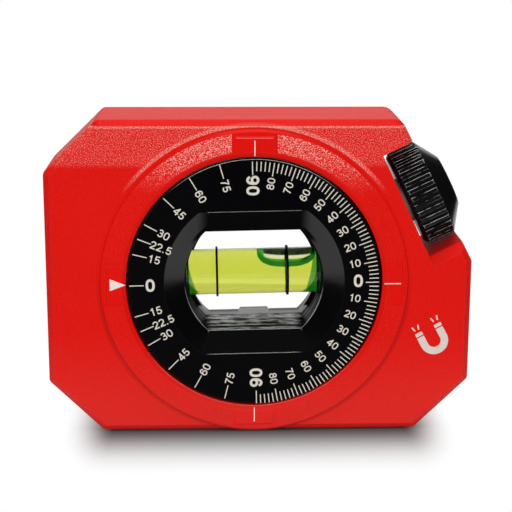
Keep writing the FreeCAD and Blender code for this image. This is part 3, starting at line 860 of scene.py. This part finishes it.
def chamber_radius(along):
    """Radius of the chamber, with its rounded ends."""
    inner = CHAMBER_HALF - CHAMBER_FILLET
    if abs(along) <= inner:
        return barrel_radius(along)
    run = min(CHAMBER_FILLET, abs(along) - inner)
    flat = barrel_radius(CHAMBER_HALF) - CHAMBER_FILLET
    return flat + math.sqrt(max(0.0, CHAMBER_FILLET ** 2 - run ** 2))


def chamber_profile(steps=24, end_steps=8):
    """The chamber's half section from its left end to its right end."""
    flat = barrel_radius(CHAMBER_HALF) - CHAMBER_FILLET
    inner = CHAMBER_HALF - CHAMBER_FILLET
    left = []
    for i in range(end_steps + 1):
        a = math.radians(180 - 90 * i / end_steps)
        left.append((CHAMBER_FILLET * math.cos(a) - inner, flat + CHAMBER_FILLET * math.sin(a)))
    wall = []
    for i in range(1, steps):
        x = -inner + 2 * inner * i / steps
        wall.append((x, barrel_radius(x)))
    right = [(-x, r) for x, r in reversed(left)]
    return left + wall + right


def lathe(bm, profile, segments, material_index=0):
    """Faces of a profile of (along, radius) points turned round the vial's axis."""
    rows = []
    for along, radius in profile:
        if radius < 1e-6:
            rows.append([bm.verts.new(vial_point(along, 0, 0))])
            continue
        ring = []
        for k in range(segments):
            ring.append(bm.verts.new(vial_point(along, radius, 2 * math.pi * k / segments)))
        rows.append(ring)
    for a, b in zip(rows, rows[1:]):
        for k in range(segments):
            m = (k + 1) % segments
            if len(a) == 1:
                face = bm.faces.new((a[0], b[k], b[m]))
            elif len(b) == 1:
                face = bm.faces.new((a[k], b[0], a[m]))
            else:
                face = bm.faces.new((a[k], b[k], b[m], a[m]))
            face.material_index = material_index


def make_vial():
    """The clear vial with its liquid chamber and filling port."""
    bm = bmesh.new()
    segments = 128
    sharp_angle = math.radians(35)
    outer = [
        (-VIAL_HALF, PORT_RADIUS),
        (-VIAL_HALF, VIAL_RADIUS - VIAL_EDGE),
        (-VIAL_HALF + VIAL_EDGE, VIAL_RADIUS),
        (VIAL_HALF - VIAL_EDGE, VIAL_RADIUS),
        (VIAL_HALF, VIAL_RADIUS - VIAL_EDGE),
        (VIAL_HALF, 0),
    ]
    port = [(-CHAMBER_HALF, PORT_RADIUS), (-VIAL_HALF, PORT_RADIUS)]
    chamber = [(-CHAMBER_HALF, PORT_RADIUS)] + chamber_profile() + [(CHAMBER_HALF, 0)]
    lathe(bm, outer, segments)
    lathe(bm, port, segments)
    lathe(bm, chamber, segments, 1)
    bmesh.ops.remove_doubles(bm, verts=bm.verts, dist=1e-7)
    piece = add_object("vial_clear", bm, acrylic, "dial", smooth=True)
    piece.data.materials.append(wet_wall)
    piece.data.set_sharp_from_angle(angle=sharp_angle)
    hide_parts("vial_body")


def make_bubble():
    """The air bubble: a long oval whose top follows the chamber's wall."""
    bm = bmesh.new()
    centre_z = 3.9
    half_width = 2.9
    half_height = 3.25
    squareness = 2.7
    wall_gap = 0.04
    rows = 48
    columns = 64

    def point(x, y, z):
        return bm.verts.new(dial_point(x, VIAL_DEPTH + y * MM, z))

    verts = []
    for i in range(1, rows):
        u = math.pi * i / rows
        x = BUBBLE_CENTRE - BUBBLE_HALF * math.cos(u)
        s = (1 - abs(math.cos(u)) ** squareness) ** (1 / squareness)
        line = []
        for k in range(columns):
            v = 2 * math.pi * k / columns
            y = half_width * s * math.cos(v)
            z = centre_z + half_height * s * math.sin(v)
            trim = min(1.0, (chamber_radius(x) - wall_gap) / math.hypot(y, z))
            line.append(point(x, y * trim, z * trim))
        verts.append(line)
    left_end = point(BUBBLE_CENTRE - BUBBLE_HALF, 0, centre_z)
    right_end = point(BUBBLE_CENTRE + BUBBLE_HALF, 0, centre_z)
    for a, b in zip(verts, verts[1:]):
        for k in range(columns):
            m = (k + 1) % columns
            bm.faces.new((a[k], b[k], b[m], a[m]))
    for k in range(columns):
        m = (k + 1) % columns
        bm.faces.new((left_end, verts[0][k], verts[0][m]))
        bm.faces.new((verts[-1][k], right_end, verts[-1][m]))
    add_object("vial_bubble", bm, bubble_air, "dial", smooth=True)


make_numbers()
make_ticks()
make_ring_marks()
make_magnet_sign()
make_vial()
make_bubble()


# Floor, lights and camera


def add_stage(name, corners, material):
    """A flat card or floor that isn't part of the object."""
    mesh = bpy.data.meshes.new(name)
    mesh.from_pydata(corners, [], [(0, 1, 2, 3)])
    mesh.materials.append(material)
    card = bpy.data.objects.new(name, mesh)
    bpy.context.scene.collection.objects.link(card)
    return card


def floor_white():
    """Plain white. Near the object it takes real light and shadow instead, on a colour painted darker and a
    little cyan towards the object as a painted shadow.
    """
    shadow_half = (0.033, 0.009)
    fade = (0.012, 0.0295)
    front_edge = -0.065
    n = Nodes("floor_white")
    place = n.split(n.place())
    beside = n.excess(n.size_of(place[0]), shadow_half[0], fade[0])
    in_front = n.excess(n.size_of(place[1]), shadow_half[1], fade[1])
    far = n.ramp(n.hypotenuse(beside, in_front), 0.0, 1.0)
    path = n.add("ShaderNodeLightPath").outputs
    seen = n.highest(path["Is Camera Ray"], path["Is Transmission Ray"])
    reflected = n.product(path["Is Glossy Ray"], n.past(place[1], front_edge, 0.003))
    plain = n.product(far, n.highest(seen, reflected))
    # Painted shadow: the floor's colour darkens towards the object, a little cyan against the red bounce
    shade = n.mix(far, (0.11, 0.15, 0.15, 1), (0.8, 0.8, 0.8, 1))
    ground = n.mix(path["Is Diffuse Ray"], shade, (0.86, 0.86, 0.86, 1))
    lit = n.add("ShaderNodeBsdfDiffuse", {"Color": ground})
    white = n.add("ShaderNodeEmission", {"Color": (1, 1, 1, 1), "Strength": 1.0})
    return n.surface(n.add("ShaderNodeMixShader", {0: plain, 1: lit.outputs[0], 2: white.outputs[0]}))


def make_floor():
    """White floor under the object, far past the picture."""
    reach = 3.0
    corners = [(-reach, -reach, 0), (reach, -reach, 0), (reach, reach, 0), (-reach, reach, 0)]
    return add_stage("floor", corners, floor_white())


def make_flag(name, x):
    """Black card beside the object, out of the picture, for its dark reflections."""
    near, back, height = -0.12, 0.06, 0.12
    n = Nodes(name)
    shade = n.mix(n.noise(20), (0.001, 0.001, 0.001, 1), (0.003, 0.003, 0.003, 1))
    black = n.surface(n.add("ShaderNodeBsdfDiffuse", {"Color": shade}))
    flag = add_stage(name, [(x, near, 0), (x, back, 0), (x, back, height), (x, near, height)], black)
    flag.visible_camera = False
    flag.visible_diffuse = False
    flag.visible_transmission = False
    flag.visible_shadow = False


def make_world():
    """Dim room all round. It is white where it shows directly or through clear
    pieces, and where its far side, behind the object, shows in a reflection."""
    world = bpy.data.worlds.new("studio")
    bpy.context.scene.world = world
    n = Nodes("studio", world)
    path = n.add("ShaderNodeLightPath").outputs
    direction = n.split(n.add("ShaderNodeTexCoord").outputs["Generated"])
    behind = n.ramp(direction[1], 0.8, 0.93)
    direct = n.highest(path["Is Camera Ray"], path["Is Transmission Ray"])

    def plain(strength):
        return n.add("ShaderNodeBackground", {"Color": (1, 1, 1, 1), "Strength": strength}).outputs[0]

    def blend(factor, first, second):
        return n.add("ShaderNodeMixShader", {0: factor, 1: first, 2: second})

    white = plain(1.0)
    dim = plain(0.3)
    dark = plain(0.05)
    reflected = blend(behind, dark, white).outputs[0]
    room = blend(path["Is Glossy Ray"], dim, reflected).outputs[0]
    n.surface(blend(direct, room, white))


def soft_box(name, place, aim, width, height, radiance):
    """An area lamp given by its size in metres and its brightness."""
    lamp = bpy.data.lights.new(name, "AREA")
    lamp.shape = "RECTANGLE"
    lamp.size = width
    lamp.size_y = height
    lamp.energy = radiance * math.pi * width * height
    obj = bpy.data.objects.new(name, lamp)
    bpy.context.scene.collection.objects.link(obj)
    obj.location = place
    obj.rotation_mode = "QUATERNION"
    obj.rotation_quaternion = (Vector(aim) - Vector(place)).to_track_quat("-Z", "Y")
    return obj


def spare(lamp, piece):
    """Keeps a lamp off a piece."""
    lit = bpy.data.collections.new(lamp.name + "_receivers")
    lit.objects.link(piece)
    lamp.light_linking.receiver_collection = lit
    for entry in lit.collection_objects:
        entry.light_linking.link_state = "EXCLUDE"


def make_lamps(floor):
    """A soft lamp over the object, and two in front of it that don't light the floor."""
    soft_box("top_box", (0.0, 0.04, 0.46), (0, 0, 0.03), 0.3, 0.34, 3.7)
    middle = (0, 0, 0.035)
    front_box = soft_box("front_box", (-0.06, -0.76, 0.51), middle, 0.8, 0.2, 4.5)
    low_box = soft_box("low_box", (-0.04, -0.8, 0.1), middle, 0.9, 0.16, 5.7)
    for lamp in (front_box, low_box):
        lamp.visible_glossy = False
        lamp.visible_transmission = False
        spare(lamp, floor)


def make_camera():
    """Long lens in front of the object, a little above it."""
    place = (-0.0105, -0.31297, 0.11379)
    yaw = math.radians(1.83)
    pitch = math.radians(13.57)
    roll = math.radians(0.15)
    camera = bpy.data.cameras.new("camera")
    camera.lens = 98.55
    camera.sensor_width = 36.0
    camera.clip_start = 0.01
    camera.clip_end = 20.0
    obj = bpy.data.objects.new("camera", camera)
    bpy.context.scene.collection.objects.link(obj)
    forward = Vector((math.sin(yaw) * math.cos(pitch), math.cos(yaw) * math.cos(pitch), -math.sin(pitch)))
    level = Vector((math.cos(yaw), -math.sin(yaw), 0))
    above = level.cross(forward)
    right = math.cos(roll) * level + math.sin(roll) * above
    up = -math.sin(roll) * level + math.cos(roll) * above
    turn = Matrix((right, up, -forward)).transposed()
    obj.matrix_world = Matrix.Translation(place) @ turn.to_4x4()
    bpy.context.scene.camera = obj


floor = make_floor()
make_world()
make_lamps(floor)
make_flag("flag_left", -0.1)
make_flag("flag_right", 0.1)
make_camera()
bpy.context.scene.view_settings.view_transform = "Standard"
